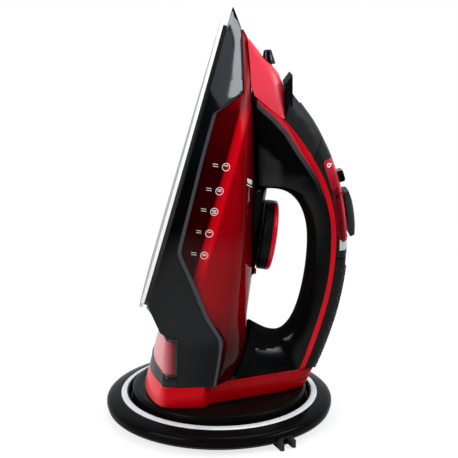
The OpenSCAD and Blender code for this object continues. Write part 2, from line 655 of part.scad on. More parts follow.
// rows of the handle's outer side: stripe outer edge x, z; back of the handle x, z
back_rows = [
    [46.3, 201.2, 51.7, 220.8], [55, 190.8, 60, 209.8], [62.6, 180.4, 68.5, 198], [69.2, 169.6, 76.2, 184],
    [75, 159, 82.4, 170.2], [79.9, 144.7, 88, 153], [83.4, 129.4, 92, 134], [84.3, 112, 93.7, 113],
    [83, 89.4, 92.3, 88], [78.8, 66, 87.8, 62], [73.6, 47.3, 82.2, 42.4], [68, 29.8, 76.7, 26.6],
    [62.6, 16.2, 72.4, 16.2]
];
handle_w = 17;
shell_base = 16.2;
// the section is squarer where the shell sits on the tank
function bulge(u) = lookup(u, [[0, 6.5], [4.5, 6.5], [6, 2.7]]);
arc_steps = 7;

// point between a row's stripe edge (a = 0) and its inner or outer end (a = 90)
function rib(p, q, w0, w1, a, inset, b = 2.7) =
    let(len_pq = norm(q - p), f = pow(sin(a), 2 / b) * (1 - inset / len_pq), m = p + (q - p) * f,
        w = (lerp(w0, w1, f) - inset) * (a == 90 ? 0 : pow(cos(a), 2 / b)))
    [m[0], w, m[1]];
function shell_row(u, inset) =
    let(r = at(shell_rows, u), z = max(shell_base, r[3]))
    mirrored([for (i = [0:arc_steps]) rib([r[2], z], [r[0], r[1]], r[5], r[4], i * 90 / arc_steps,
        min(inset, 0.7 * norm([r[2] - r[0], z - r[1]])), bulge(u))]);
function back_row(u, inset) =
    let(r = at(back_rows, u))
    mirrored([for (i = [0:arc_steps]) rib([r[0], r[1]], [r[2], r[3]], handle_w, handle_w,
        i * 90 / arc_steps, inset)]);

module back_shell(u0, u1, steps, proud = 0) {
    us = [for (i = [0:steps]) lerp(u0, u1, i / steps)];
    iron() wall([for (u = us) back_row(u, handle_wall)], [for (u = us) back_row(u, -proud)]);
}

module handle_shell() {
    us = [for (i = [0:34]) i / 2];
    color([0.03, 0.03, 0.033]) difference() {
        iron() wall([for (u = us) shell_row(u, 0)], [for (u = us) shell_row(u, handle_wall)]);
        on_filler() translate([-30, 0, 0]) along_x(20, 6.5);
    }
}

// red stripe down each side between the inner moulding and the grip
module trim_stripes() {
    us = [for (i = [0:24]) i / 2];
    function edge(u) = let(r = at(shell_rows, u + 1)) [r[2], r[3]];
    function outer(u) = let(r = at(back_rows, u)) [r[0], r[1]];
    function row(u, y) = [for (p = [edge(u), outer(u)]) [p[0], y, p[1]]];
    color([0.9, 0.06, 0.14]) iron() for (side = [0, 1]) mirror([0, side, 0])
        wall([for (u = us) row(u, handle_w + 0.35)], [for (u = us) row(u, handle_w - 2)]);
}

module grip_cover() {
    color([0.1, 0.1, 0.1]) difference() {
        union() {
            back_shell(0, 2.62, 8);
            intersection() {
                iron() loft([for (i = [8:-1:0]) back_row(lerp(0, 2.62, i / 8), 0.4)]);
                in_recess() translate([-20, -9.9, -3]) cube([23.5, 19.8, 17]);
            }
        }
        in_recess() translate([-30, -8.7, -6]) cube([32.3, 17.4, 50]);
        iron() translate([40, -15.6, 190]) cube([11.6, 31.2, 60]);
    }
}

module control_panel() {
    color([0.09, 0.09, 0.09]) difference() {
        back_shell(2.66, 7.5, 14);
        on_buttons() translate([-6.4, -20, -18.4]) cube([20, 40, 36.8]);
        on_slider() translate([-6, -6.6, -11.2]) cube([12, 13.2, 22.4]);
        iron() translate([86, -4.2, 101.8]) cube([12, 8.4, 7.6]);
    }
}

module grip_pad() {
    color([0.07, 0.07, 0.07]) back_shell(7.54, 12, 12);
}

module button_bed() {
    color([0.8, 0.04, 0.1]) difference() {
        intersection() {
            back_shell(5.2, 7.2, 6, 0.3);
            on_buttons() translate([-6.2, -20, -18.2]) cube([20, 40, 36.4]);
        }
        on_buttons() translate([-8, -11.8, -16.8]) cube([20, 23.6, 33.6]);
    }
}

// a push button with its plunger running in a pump barrel
module push_button(side) {
    on_buttons() {
        intersection() {
            translate([0.4, side > 0 ? 0.4 : -11.4, -16.4]) cube([7, 11, 32.8]);
            translate([-52, 0, 0]) rotate([90, 0, 0]) cylinder(h = 30, r = 58.3, center = true, $fn = 360);
            translate([-6.6, 0, 0]) cylinder(h = 50, r = 13.2, center = true, $fn = 96);
        }
        translate([-15, side * plunger_y, 0]) along_x(15.6, 3);
    }
}

module spray_button() color([0.06, 0.06, 0.065]) push_button(-1);
module steam_button() color([0.06, 0.06, 0.065]) push_button(1);

module pump_barrels() {
    color([0.88, 0.88, 0.86]) on_buttons() difference() {
        union() {
            for (side = [-1, 1]) translate([-22, side * plunger_y, 0]) along_x(15, 4.2);
            translate([-22, -plunger_y, -3]) cube([3, 2 * plunger_y, 6]);
        }
        for (side = [-1, 1]) translate([-20.4, side * plunger_y, 0]) along_x(20, 3 + pump_gap);
    }
}

// return spring between the barrel's mouth and the button's underside
module pump_spring(side) {
    turns = 4;
    color([0.7, 0.7, 0.7]) on_buttons() translate([-6.8, side * plunger_y, 0])
        for (i = [0:turns - 1]) translate([0.7 + i * 1.75, 0, 0]) rotate([0, 90, 0])
            rotate_extrude($fn = 48) translate([3.75, 0]) circle(r = 0.35, $fn = 16);
}
module spray_spring() pump_spring(-1);
module steam_spring() pump_spring(1);

module slider_plate() {
    color([0.85, 0.06, 0.12]) on_slider() difference() {
        translate([-2.6, -6.4, -11]) cube([2.4, 12.8, 22]);
        translate([-3, -1.6, -8.6]) cube([4, 3.2, 17.2]);
    }
}

module steam_slider() {
    color([0.05, 0.05, 0.055]) on_slider() translate([0, 0, -4.4]) {
        hull() {
            translate([0, -5, -4.2]) cube([3.4, 10, 8.4]);
            translate([0, -4.2, -3.2]) cube([4.6, 8.4, 6.4]);
        }
        translate([-4.6, -1.3, -3.6]) cube([4.7, 2.6, 7.2]);
    }
}

module indicator_lens() {
    color([0.93, 0.92, 0.88]) iron() difference() {
        translate([89.6, -4, 102]) cube([4.2, 8, 7.2]);
        translate([88, -2.6, 103.4]) cube([3.6, 5.2, 4.4]);
    }
}

module indicator_board() {
    color([0.1, 0.35, 0.15]) iron() {
        translate([83.4, -6, 92]) cube([1.4, 12, 22]);
        translate([84.7, 0, 105.6]) along_x(3.4, 1.5);
    }
}

// ---------- dial ----------

// the deck is a wedge, its face square to the dial's shaft
function deck_face(z) = dial_x + (z - dial_z) * tan(dial_lean);

module dial_deck() {
    rows = [[84.6, 1.6], [87, 4], [89.5, 6.6], [92, 9.2], [96, 12.8], [101, 16.2], [108, 19],
        [118, 21.2], [130, 21.8], [142, 21.4], [150, 20.9], [151.4, 20.8]];
    function line(r, base) = [for (f = [1, 0.85, 0.5, 0, -0.5, -0.85, -1])
        let(skin = tank_skin(r[0], abs(f) * r[1]))
        [base ? skin + 0.05 : max(skin + 0.9, lerp(deck_face(r[0]), skin + 1, pow(abs(f), 4))),
            f * r[1], r[0]]];
    color([0.05, 0.05, 0.055]) difference() {
        iron() wall([for (r = rows) line(r, true)], [for (r = rows) line(r, false)]);
        on_dial() translate([-12, 0, 0]) along_x(30, 3.05);
    }
}

// thickness of the dial's black body, and how far it stands off the deck
dial_body_t = 7;
dial_off = 0.4;

module dial_body() {
    color([0.05, 0.05, 0.055]) on_dial() translate([dial_off, 0, 0]) difference() {
        rotate([0, 90, 0]) rotate_extrude($fn = 120) polygon([[3.05, 0], [dial_r - 1.6, 0],
            [dial_r - 0.4, 0.5], [dial_r, 1.6], [dial_r, dial_body_t], [3.05, dial_body_t]]);
        for (i = [0:23]) rotate([i * 15, 0, 0]) translate([3.4, 0, dial_r + 0.5]) along_x(10, 1.2);
    }
}

module dial_cap() {
    color([0.88, 0.05, 0.12]) on_dial() translate([dial_off + dial_body_t, 0, 0]) rotate([0, 90, 0])
        rotate_extrude($fn = 120) polygon([[0, 0], [dial_r - 0.6, 0], [dial_r - 0.4, 0.8],
            [dial_r - 1.4, 2.2], [dial_r - 4, 3.1], [dial_r - 10, 3.9], [10, 4.2], [0, 4.3]]);
}

module dial_shaft() {
    color([0.7, 0.7, 0.72]) on_dial() translate([-51.5, 0, 0]) along_x(51.5 + dial_off + dial_body_t, 3);
}

module dial_pointer() {
    color([0.9, 0.06, 0.12]) iron() translate([deck_face(86) + 0.02, 0, 86]) rotate([0, dial_lean, 0])
        hull() {
            translate([0, -1.6, -0.6]) cube([1.6, 3.2, 1.2]);
            translate([0, -0.3, 3]) cube([1.2, 0.6, 0.4]);
        }
}

base_tray();
base_shell();
trim_ring();
base_foot();
base_screws();
cord_outlet();
slip_rings();
base_spindle();
turntable();
bearing_ring();
brush_contacts();
dock_plug();
dock_blades();
soleplate_sheet();
soleplate_casting();
heating_element();
chamber_cover();
thermostat();
thermal_fuse();
tank_base();
water_tank();
skirt();
heel_back();
heel_window();
heel_band();
heel_contacts();
heel_feet();
upper_cover();
filler_neck();
spray_nozzle();
spray_tube();
filler_collar();
filler_door();
filler_door_pin();
handle_shell();
trim_stripes();
grip_cover();
control_panel();
grip_pad();
button_bed();
spray_button();
steam_button();
pump_barrels();
spray_spring();
steam_spring();
slider_plate();
steam_slider();
indicator_lens();
indicator_board();
dial_deck();
dial_body();
dial_cap();
dial_shaft();
dial_pointer();
heel_frame();
heel_screws();
drip_valve();
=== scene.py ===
import json
from math import cos, pi, radians, sin, sqrt

import bmesh
import bpy
from mathutils import Matrix, Quaternion, Vector


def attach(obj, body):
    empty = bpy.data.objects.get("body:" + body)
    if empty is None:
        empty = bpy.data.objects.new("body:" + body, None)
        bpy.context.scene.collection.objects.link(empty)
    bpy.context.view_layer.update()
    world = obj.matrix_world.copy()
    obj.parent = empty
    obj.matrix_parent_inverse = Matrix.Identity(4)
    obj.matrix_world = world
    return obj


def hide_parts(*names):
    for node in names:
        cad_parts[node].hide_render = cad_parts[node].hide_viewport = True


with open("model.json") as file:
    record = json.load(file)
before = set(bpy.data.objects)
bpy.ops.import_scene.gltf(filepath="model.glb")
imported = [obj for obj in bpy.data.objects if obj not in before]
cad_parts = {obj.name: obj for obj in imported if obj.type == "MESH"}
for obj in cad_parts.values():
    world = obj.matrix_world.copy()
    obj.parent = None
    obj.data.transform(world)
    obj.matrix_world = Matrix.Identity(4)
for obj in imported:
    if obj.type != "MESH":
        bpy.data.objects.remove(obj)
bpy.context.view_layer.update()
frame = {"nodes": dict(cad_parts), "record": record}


# ---------------------------------------------------------------- studio
# A pale table top that runs out into a white surround. One large soft light
# stands high on the left, a strip above, and two panels light the right side.

class Field:
    """A value that changes over a surface, so that masks read as sums."""

    def __init__(self, finish, socket):
        self.finish = finish
        self.socket = socket

    def math(self, operation, *values):
        return self.finish.node("ShaderNodeMath", {"operation": operation}, dict(enumerate(values)))

    def __add__(self, other):
        return self.math("ADD", self, other)

    __radd__ = __add__

    def __sub__(self, other):
        return self.math("SUBTRACT", self, other)

    def __rsub__(self, other):
        return self.math("SUBTRACT", other, self)

    def __mul__(self, other):
        return self.math("MULTIPLY", self, other)

    __rmul__ = __mul__

    def __truediv__(self, other):
        return self.math("DIVIDE", self, other)

    def __pow__(self, other):
        return self.math("POWER", self, other)

    def __abs__(self):
        return self.math("ABSOLUTE", self)

    def step(self, low, high):
        """0 below low, 1 above high, smooth between."""
        return self.finish.node("ShaderNodeMapRange", {"interpolation_type": "SMOOTHSTEP"},
                                {"Value": self, "From Min": low, "From Max": high})


class Finish:
    """A material, or the surround, under the brush: its nodes come from one method."""

    def __init__(self, name, kind=bpy.data.materials):
        self.owner = kind.new(name)
        self.owner.use_nodes = True
        self.tree = self.owner.node_tree
        self.tree.nodes.clear()
        self.place = self.node("ShaderNodeTexCoord", {}, {}, "Object")
        self.x, self.y, self.z = (
            self.node("ShaderNodeSeparateXYZ", {}, {"Vector": self.place}, axis) for axis in "XYZ")

    def node(self, kind, settings, values, output=0):
        """Any node: its type, its settings, then a value or a field for each socket."""
        made = self.tree.nodes.new(kind)
        for key, value in settings.items():
            setattr(made, key, value)
        for key, value in values.items():
            if isinstance(value, Field):
                self.tree.links.new(value.socket, made.inputs[key])
            elif isinstance(value, tuple) and len(value) == 3 and made.inputs[key].type == "RGBA":
                made.inputs[key].default_value = (*value, 1)
            else:
                made.inputs[key].default_value = value
        return Field(self, made.outputs[output]) if made.outputs else None

    def noise(self, scale, detail, rough=0.55, stretch=None):
        """Cloud or grain from 0 to 1, drawn out along an axis where its stretch is low."""
        place = self.place
        if stretch:
            place = self.node("ShaderNodeVectorMath", {"operation": "MULTIPLY"},
                              {0: place, 1: stretch})
        return self.node("ShaderNodeTexNoise", {}, {"Vector": place, "Scale": scale,
                                                    "Detail": detail, "Roughness": rough}, "Fac")

    def mix(self, mask, first, second):
        """The first colour where the mask is 0, the second where it is 1."""
        return self.node("ShaderNodeMix", {"data_type": "RGBA"}, {0: mask, 6: first, 7: second}, 2)

    def bump(self, height, distance, strength):
        """Relief that is distance metres high where the height is 1."""
        return self.node("ShaderNodeBump", {},
                         {"Height": height, "Distance": distance, "Strength": strength}, "Normal")

    def shader(self, kind, **values):
        """A shader whose sockets are named in small letters with underscores."""
        sockets = {key.replace("_", " ").title().replace("Ior", "IOR"): value
                   for key, value in values.items()}
        return self.node(kind, {}, sockets)

    def surface(self, **values):
        """The finished material: one Principled shader with these values."""
        return self.out(self.shader("ShaderNodeBsdfPrincipled", **values))

    def out(self, shader, kind="ShaderNodeOutputMaterial"):
        """Ends the nodes in this shader, and gives back what they belong to."""
        self.node(kind, {}, {"Surface": shader})
        return self.owner


scene = bpy.context.scene
scene.view_settings.view_transform = "Standard"

view_drop = radians(13.536)
view_turn = radians(-1)
camera_data = bpy.data.cameras.new("camera")
camera_data.sensor_width = 36
camera_data.lens = 78.6
camera = bpy.data.objects.new("camera", camera_data)
camera.location = (-0.0050, -0.7119, 0.3105)
camera.rotation_euler = (pi / 2 - view_drop, 0, view_turn)
scene.collection.objects.link(camera)
scene.camera = camera


def soft_light(name, place, aim, size, power, colour=(1, 1, 1), roll=0):
    """A rectangular lamp at a place in metres, aimed at a point, its power in watts."""
    data = bpy.data.lights.new(name, "AREA")
    data.shape = "RECTANGLE"
    data.size, data.size_y = size
    data.energy = power
    data.color = colour
    lamp = bpy.data.objects.new(name, data)
    lamp.location = place
    aimed = (Vector(aim) - Vector(place)).to_track_quat("-Z", "Y")
    lamp.rotation_euler = (aimed @ Quaternion((0, 0, 1), radians(roll))).to_euler()
    scene.collection.objects.link(lamp)


soft_light("key_light", (-1.1, -0.75, 0.95), (0, 0, 0.15), (0.9, 0.9), 19, (1, 0.99, 0.97))
soft_light("top_light", (0.1, 0.3, 1.3), (0, 0, 0.1), (0.9, 0.6), 10)
nose = (0, -0.02, 0.255)
soft_light("side_light", (0.948, -0.29, 0.85), nose, (0.72, 0.22), 8, (0.9, 0.96, 1), 8)
soft_light("side_panel", (1.05, -0.25, 0.65), nose, (0.7, 0.2), 0.85, (0.8, 0.91, 1))

# Matt surfaces get plain light from all round. The lens sees white, and so does gloss that
# faces the backdrop, while on the near side the room is dark, as a studio is.
surround = Finish("surround", bpy.data.worlds)
facing = surround.node("ShaderNodeSeparateXYZ", {}, {
    0: surround.node("ShaderNodeTexCoord", {}, {}, "Generated")}, "Y")
backdrop = 0.02 + facing.step(-0.15, 0.75) * 0.98
room = surround.shader("ShaderNodeBackground", color=(0.86, 0.93, 1), strength=backdrop)
dim = surround.shader("ShaderNodeBackground", color=(0.98, 0.99, 1), strength=0.42)
white = surround.shader("ShaderNodeBackground", color=(1, 1, 1), strength=1.0)
by_lens, by_gloss, by_glass = (surround.node("ShaderNodeLightPath", {}, {}, f"Is {ray} Ray")
                               for ray in ("Camera", "Glossy", "Transmission"))
seen = surround.node("ShaderNodeMath", {"operation": "MAXIMUM"}, {0: by_lens, 1: by_glass})
matt_or_gloss = surround.node("ShaderNodeMixShader", {}, {0: by_gloss, 1: dim, 2: room})
scene.world = surround.out(surround.node("ShaderNodeMixShader", {}, {
    0: seen, 1: matt_or_gloss, 2: white}), "ShaderNodeOutputWorld")

bpy.ops.mesh.primitive_circle_add(vertices=96, radius=1.6, fill_type="NGON")
floor = bpy.context.object
floor.name = "table_top"
table = Finish("white table")
radius = (table.x * table.x + table.y * table.y) ** 0.5
runs_out = radius.step(0.16, 0.75)
matt = table.shader("ShaderNodeBsdfPrincipled", base_color=(0.55, 0.55, 0.55), roughness=0.6,
                    specular_ior_level=0.2)
glow = table.shader("ShaderNodeEmission", color=(1, 1, 1), strength=1.25)
clear = table.shader("ShaderNodeBsdfTransparent", color=(1, 1, 1))
lit = table.node("ShaderNodeMixShader", {}, {0: 0.6, 1: matt, 2: glow})
by_lens = table.node("ShaderNodeLightPath", {}, {}, "Is Camera Ray")
near = table.node("ShaderNodeMixShader", {}, {0: by_lens, 1: matt, 2: lit})
floor.data.materials.append(table.out(
    table.node("ShaderNodeMixShader", {}, {0: runs_out, 1: near, 2: clear})))


# ---------------------------------------------------------------- charging base
# Two round black mouldings screwed together, with a bright ring let into the
# top, a rubber ring underneath and an outlet for the lead.

MM = 0.001


def only(piece):
    """Selects one piece and nothing else."""
    bpy.ops.object.select_all(action="DESELECT")
    piece.select_set(True)
    bpy.context.view_layer.objects.active = piece


def in_edit(piece):
    """Edit mode on one piece, by its edges, with nothing selected."""
    only(piece)
    bpy.ops.object.mode_set(mode="EDIT")
    bpy.ops.mesh.select_mode(type="EDGE")
    bpy.ops.mesh.select_all(action="DESELECT")


def out_of_edit():
    bpy.ops.object.mode_set(mode="OBJECT")


def smooth(piece, angle=32):
    only(piece)
    bpy.ops.object.shade_smooth_by_angle(angle=radians(angle))


def at_origin(piece):
    only(piece)
    bpy.ops.object.transform_apply(location=True, rotation=True, scale=True)


def apply_all(piece):
    only(piece)
    for modifier in list(piece.modifiers):
        bpy.ops.object.modifier_apply(modifier=modifier.name)


def round_edges(piece, width, segments, angle=30):
    """Rounds the edges that turn by more than the angle, width in metres."""
    bevel = piece.modifiers.new("round", "BEVEL")
    bevel.width = width
    bevel.segments = segments
    bevel.limit_method = "ANGLE"
    bevel.angle_limit = radians(angle)
    apply_all(piece)


def turned(name, profile, around, close=False):
    """A round piece turned through its profile of (radius, height) points in mm.

    Its two ends are joined into a ring where close is set, and filled in otherwise.
    """
    r, z = profile[0]
    bpy.ops.object.select_all(action="DESELECT")
    bpy.ops.mesh.primitive_circle_add(vertices=around, radius=r * MM, location=(0, 0, z * MM))
    piece = bpy.context.object
    piece.name = name
    at_origin(piece)
    in_edit(piece)
    bpy.ops.mesh.select_all(action="SELECT")
    for next_r, next_z in profile[1:]:
        bpy.ops.mesh.extrude_edges_move(TRANSFORM_OT_translate={"value": (0, 0, (next_z - z) * MM)})
        ratio = next_r / r
        bpy.ops.transform.resize(value=(ratio, ratio, 1), center_override=(0, 0, next_z * MM))
        r, z = next_r, next_z
    bpy.ops.mesh.select_all(action="DESELECT")
    bpy.ops.mesh.select_non_manifold()
    if close:
        bpy.ops.mesh.bridge_edge_loops()
    else:
        bpy.ops.mesh.fill()
    bpy.ops.mesh.select_all(action="SELECT")
    bpy.ops.mesh.normals_make_consistent(inside=False)
    out_of_edit()
    return piece


def hand_in(piece, body, material, *stands_for):
    """Gives a new piece its material and its body, and hides the CAD nodes that it stands for."""
    piece.data.materials.clear()
    piece.data.materials.append(material)
    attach(piece, body)
    if stands_for:
        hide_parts(*stands_for)


def dress(material, *nodes):
    """Gives CAD nodes that keep their own shape a material."""
    for node in nodes:
        mesh = frame["nodes"][node].data
        mesh.materials.clear()
        mesh.materials.append(material)


def gloss(name, colour, rough, specular, deep=None):
    """Polished moulding: faint moulding flow in the colour, fine wipe marks in the polish."""
    paint = Finish(name)
    cloud = paint.noise(38, 4)
    wipe = paint.noise(420, 2, stretch=(1, 1, 0.25))
    deep = deep or tuple(c * 0.82 for c in colour)
    return paint.surface(
        base_color=paint.mix(cloud.step(0.35, 0.68), colour, deep),
        roughness=rough + wipe * 0.05 + cloud.step(0.5, 0.75) * 0.03,
        specular_ior_level=specular,
        normal=paint.bump(paint.noise(160, 2), 0.00004, 0.25))


def matt_moulding(name, colour, rough, grain=1800, depth=0.00006, specular=0.35):
    """Spark-eroded moulding: an even fine grain, slightly polished where it is touched."""
    paint = Finish(name)
    grains = paint.noise(grain, 2, 0.6)
    cloud = paint.noise(30, 3)
    lighter = tuple(min(1, c * 1.35 + 0.004) for c in colour)
    return paint.surface(
        base_color=paint.mix(grains.step(0.4, 0.7), colour, lighter),
        roughness=rough + cloud * 0.12 - grains * 0.05,
        specular_ior_level=specular,
        normal=paint.bump(grains, depth, 0.7))


base_black = gloss("base black", (0.0036, 0.0031, 0.003), 0.16, 0.03)
base_shell = turned("base_cover", [
    (84.75, 6.35), (84.95, 7.2), (85.0, 8.4), (84.95, 9.6), (84.5, 10.7), (83.6, 11.6),
    (82.3, 12.35), (80.4, 13.05), (78.4, 13.6), (76.2, 14.1), (74.12, 14.5), (74.1, 13.2),
    (69.75, 13.9), (69.7, 15.25), (68.6, 15.0), (67.5, 13.9), (66.8, 11), (22, 11), (22, 14.4),
    (19, 14.4), (19, 8.7), (68.6, 8.7), (70.4, 11.4), (78.5, 11.2), (81.8, 10),
    (82.2, 6.35)], around=240, close=True)
round_edges(base_shell, 0.25 * MM, 2, 35)
smooth(base_shell)
hand_in(base_shell, "base", base_black, "base_shell")

silver = Finish("silver paint")
spun = silver.noise(900, 2, stretch=(1, 1, 6))
flecks = silver.noise(60, 3).step(0.4, 0.7)
silver_paint = silver.surface(
    base_color=silver.mix(flecks, (0.70, 0.71, 0.73), (0.62, 0.63, 0.66)),
    metallic=0.25, roughness=0.3 + spun * 0.15, normal=silver.bump(spun, 0.00003, 0.4))
ring = turned("base_ring", [
    (74.0, 13.3), (74.0, 14.35), (73.7, 14.62), (72, 15.02), (70.2, 15.42), (69.8, 15.3),
    (69.8, 14.1)], around=240, close=True)
smooth(ring)
hand_in(ring, "base", silver_paint, "trim_ring")

inner_black = matt_moulding("inner black", (0.018, 0.018, 0.019), 0.5)
rubber = matt_moulding("rubber", (0.022, 0.022, 0.022), 0.75, 2600, 0.00008)
steel_finish = Finish("bright steel")
lay = steel_finish.noise(700, 3, stretch=(1, 1, 0.1))
steel = steel_finish.surface(
    base_color=steel_finish.mix(lay, (0.5, 0.5, 0.52), (0.62, 0.62, 0.63)),
    metallic=1.0, roughness=0.26 + lay * 0.14, normal=steel_finish.bump(lay, 0.00002, 0.5))
brass_finish = Finish("contact metal")
tarnish = brass_finish.noise(140, 4)
brass = brass_finish.surface(
    base_color=brass_finish.mix(tarnish.step(0.45, 0.75), (0.72, 0.52, 0.2), (0.45, 0.3, 0.12)),
    metallic=1.0, roughness=0.24 + tarnish * 0.2)
natural = matt_moulding("natural moulding", (0.66, 0.65, 0.6), 0.42, 1500, 0.00003)
tray_black = matt_moulding("tray black", (0.01, 0.0098, 0.0095), 0.38, 1400, 0.00003, 0.3)
dress(tray_black, "base_tray", "cord_outlet")
dress(rubber, "base_foot", "heel_feet")
dress(steel, "base_screws", "base_spindle", "heel_screws")
dress(brass, "slip_rings", "brush_contacts", "dock_blades", "heel_contacts", "drip_valve")


# ---------------------------------------------------------------- platform
# The turning disc that the heel stands on, a black moulding with a rounded
# rim, its bearing, and the plug that the heel drops over.

platform_black = gloss("platform black", (0.003, 0.0027, 0.0027), 0.24, 0.04)
platform = turned("platform", [
    (12, 17.4), (12, 11.8), (17, 11.8), (17, 17.4), (63.1, 17.4), (63.1, 12.6), (65.5, 12.6),
    (65.5, 17.6), (65.35, 18.5), (64.9, 19.1), (64.2, 19.6), (63.3, 19.92), (62.3, 20.0),
    (59.5, 20.0), (59.2, 19.75), (57.8, 19.75), (57.5, 20.0), (4, 20.0)], around=200)
smooth(platform)
hand_in(platform, "turntable", platform_black, "turntable")
dress(natural, "bearing_ring", "pump_barrels", "thermal_fuse")
dress(inner_black, "dock_plug", "tank_base", "filler_neck", "heel_frame")


# ---------------------------------------------------------------- soleplate
# A sheet with steam holes, ground on its face and polished at its turned edge,
# crimped over a dark cast body that carries the heating tube, the steam chamber
# and the thermostat.

sheet = Finish("polished sheet")
polish = sheet.noise(300, 4, stretch=(0.15, 1, 1))
polished_edge = sheet.surface(
    base_color=sheet.mix(polish, (0.96, 0.95, 0.93), (0.98, 0.97, 0.95)),
    metallic=0.03, roughness=0.3 + polish * 0.1, normal=sheet.bump(polish, 0.000002, 0.3))
dress(polished_edge, "soleplate_sheet")

# The face that irons looks along -x, and is ground lengthways.
ground = Finish("ground face")
brushed = ground.noise(900, 3, stretch=(1, 1, 0.03))
ground_face = ground.surface(
    base_color=ground.mix(brushed, (0.3, 0.3, 0.305), (0.4, 0.4, 0.405)),
    metallic=0.8, roughness=0.4 + brushed * 0.16 + ground.noise(30, 3) * 0.06,
    normal=ground.bump(brushed, 0.000004, 0.5))
sole = frame["nodes"]["soleplate_sheet"]
sole.data.materials.append(ground_face)
for face in sole.data.polygons:
    if (sole.matrix_world.to_3x3() @ face.normal).x < -0.85:
        face.material_index = 1

# The casting is painted pale where it meets the sheet: a painted reflection of the bright
# sheet edge, with a soot cloud over it. Depth is in mm from a line up the side of
# the sole, which passes through rim_x and rim_z.
cast = Finish("cast aluminium")
rim_x, rim_z, rim_slope = -19.6, 198.1, 0.2615
skin = cast.noise(520, 4)
soot = cast.noise(24, 3)
depth = cast.x / MM - rim_x - (cast.z / MM - rim_z) * rim_slope
# Painted reflection: pale by the sheet edge, with soot clouds on top.
painted_reflection_and_soot = (1 - depth.step(-2.6, 0.6)) * 0.75 + soot * 0.2
cast_metal = cast.surface(
    base_color=cast.mix(painted_reflection_and_soot, (0.004, 0.0036, 0.003), (0.062, 0.058, 0.05)),
    metallic=0.2, roughness=0.5 + skin * 0.2, specular_ior_level=0.2,
    normal=cast.bump(skin, 0.00003, 0.5))
dress(cast_metal, "soleplate_casting", "chamber_cover")
dress(steel, "heating_element", "thermostat")


# ---------------------------------------------------------------- skirt
# The black shell round the hot body, one moulding: polished on the nose and
# satin lower down. A grey satin bevel borders the window of the tank.

bodies = {node: body for body, nodes in frame["record"]["behaviour"]["bodies"].items()
          for node in nodes}


def free_copy(source, name):
    """The same shape as a piece of its own, with its own mesh."""
    piece = source.copy()
    piece.data = source.data.copy()
    piece.name = name
    scene.collection.objects.link(piece)
    piece.parent = None
    piece.matrix_world = Matrix()
    return piece


def shaped_copy(node, levels, sharp):
    """The shell again, its facets gathered into quads and rounded off between the sharp edges."""
    piece = free_copy(frame["nodes"][node], node)
    in_edit(piece)
    bpy.ops.mesh.select_all(action="SELECT")
    bpy.ops.mesh.remove_doubles(threshold=0.000004)
    bpy.ops.mesh.tris_convert_to_quads(face_threshold=radians(25), shape_threshold=radians(120))
    bpy.ops.mesh.select_all(action="DESELECT")
    bpy.ops.mesh.edges_select_sharp(sharpness=radians(sharp))
    bpy.ops.transform.edge_crease(value=0.92)
    out_of_edit()
    if levels:
        rounder = piece.modifiers.new("rounder", "SUBSURF")
        rounder.levels = levels
        rounder.render_levels = levels
    return piece


def shell(node, material, levels, sharp):
    """A CAD shell rounded off and handed in under its own name."""
    piece = shaped_copy(node, levels, sharp)
    apply_all(piece)
    smooth(piece, 38)
    hand_in(piece, bodies[node], material, node)
    return piece


def skirt_finish():
    """High polish on the nose, satin lower down; the nose swells a little towards its ridge."""
    swell_from, swell_run = 249, 31
    paint = Finish("skirt black")
    up = paint.z / MM
    nose = up.step(188, 206)
    polish = up.step(117, 137)
    cloud = paint.noise(38, 4)
    wipe = paint.noise(420, 2, stretch=(1, 1, 0.25))
    above = (abs(up - swell_from) + up - swell_from) / (2 * swell_run)
    swelling = paint.bump((paint.x / MM).step(5, 20) * above, 0.0014, 1)
    body = paint.mix(polish, (0.0058, 0.0061, 0.0068), (0.0012, 0.0013, 0.0015))
    return paint.surface(
        base_color=paint.mix(nose, body, (0.002, 0.0027, 0.0042)),
        roughness=0.3 - polish * 0.255 + wipe * 0.05 + cloud.step(0.5, 0.75) * 0.03,
        specular_ior_level=0.27, normal=swelling)


skirt_black = skirt_finish()
border_grey = matt_moulding("border grey", (0.036, 0.04, 0.045), 0.42, 1500, 0.00003, 0.5)
heel_z = 20  # top of the platform, mm
window_line = [
    (14.5, -4.8), (31, -1.5), (46.8, 0.7), (64.3, -9.7), (93.6, -20.7), (112.6, -28.6),
    (116, -28.6), (150.3, -19.9), (179, -12.5), (208.2, -3.9), (220.2, 16.6), (240, 16.4),
    (258, 16.0), (264.5, 15.4), (278.3, 9.95)]
window_top = 222
bevel_start = 0.25


def along(line, z):
    """x of a line of (height above the heel, x) points at height z, all in mm."""
    for (z0, x0), (z1, x1) in zip(line, line[1:]):
        if z <= z1:
            return x0 + (x1 - x0) * max(0, z - z0) / (z1 - z0)
    return line[-1][1]


skirt = shaped_copy("skirt", 2, 24)
skirt.data.materials.clear()
skirt.data.materials.append(skirt_black)
skirt.data.materials.append(border_grey)
for face in skirt.data.polygons:
    x, up = face.center.x / MM, face.center.z / MM - heel_z
    if x > along(window_line, up) + bevel_start and up < window_top:
        face.material_index = 1
apply_all(skirt)
smooth(skirt, 38)
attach(skirt, "iron")
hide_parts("skirt")


# ---------------------------------------------------------------- water tank
# A clear red moulding that shows in the skirt's window, with white marks printed
# beside its ridge. Its red carries painted light and shade. Its back, under the handle
# and the deck of the dial, is dull and painted dark as shade.

# Where each ring is printed, and the two level bars, as x and z in mm.
mark_places = [(4.7, 192), (0.2, 176), (-3.4, 162), (-6.9, 147), (-10.4, 131.5)]
bar_x, bar_z = 22, 176.5


